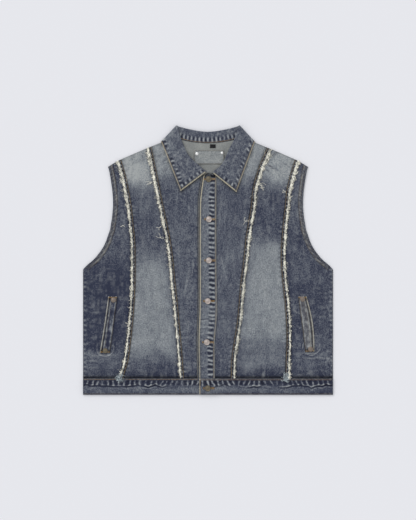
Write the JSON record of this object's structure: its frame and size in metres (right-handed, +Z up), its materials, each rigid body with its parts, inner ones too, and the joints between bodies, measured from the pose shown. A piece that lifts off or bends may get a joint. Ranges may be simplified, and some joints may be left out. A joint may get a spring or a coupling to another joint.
{
  "type": "denim vest",
  "caption": "Sleeveless denim vest with pointed collar, frayed front seams, button band, welt pockets and waistband, buttoned and laid flat.",
  "frame": {"origin": "on the surface, under the middle of the laid vest's box", "axes": "+X to the right of the laid vest seen from above, which is the wearer's left, +Y from the hem to the collar, +Z up from the surface"},
  "size_m": [0.62, 0.6674, 0.0104],
  "materials": {
    "denim": "stonewashed blue denim with faded zones, twill weave and tan top stitching",
    "denim_inside": "pale grey inner face of the denim",
    "pocketing": "plain unbleached cotton",
    "frayed_cotton": "frayed cream and blue-white cotton threads",
    "black_tape": "plain black woven tape",
    "button_metal": "aged nickel with a dull pinkish cast",
    "rivet_metal": "aged copper, dull",
    "label_rivet_metal": "bright nickel"
  },
  "bodies": {
    "root": {"back_panel": "denim_inside", "front_side_left": "denim", "front_side_right": "denim", "front_middle_left": "denim", "front_middle_right": "denim", "front_center_left": "denim", "front_center_right": "denim", "seam_flap_outer_left": "denim", "seam_flap_inner_left": "denim", "seam_flap_inner_right": "denim", "seam_flap_outer_right": "denim", "fray_outer_left": "frayed_cotton", "fray_inner_left": "frayed_cotton", "fray_inner_right": "frayed_cotton", "fray_outer_right": "frayed_cotton", "placket_top": "denim", "placket_under": "denim", "collar": "denim", "waistband_left": "denim", "waistband_right": "denim", "waistband_back": "denim", "pocket_welt_left": "denim", "pocket_welt_right": "denim", "pocket_bag_left": "pocketing", "pocket_bag_right": "pocketing", "button_1": "button_metal", "button_2": "button_metal", "button_3": "button_metal", "button_4": "button_metal", "button_5": "button_metal", "button_6": "button_metal", "pocket_rivet_upper_left": "rivet_metal", "pocket_rivet_lower_left": "rivet_metal", "pocket_rivet_upper_right": "rivet_metal", "pocket_rivet_lower_right": "rivet_metal", "neck_label": "denim_inside", "size_tab": "black_tape", "label_rivet_left": "label_rivet_metal", "label_rivet_right": "label_rivet_metal"}
  },
  "joints": []
}
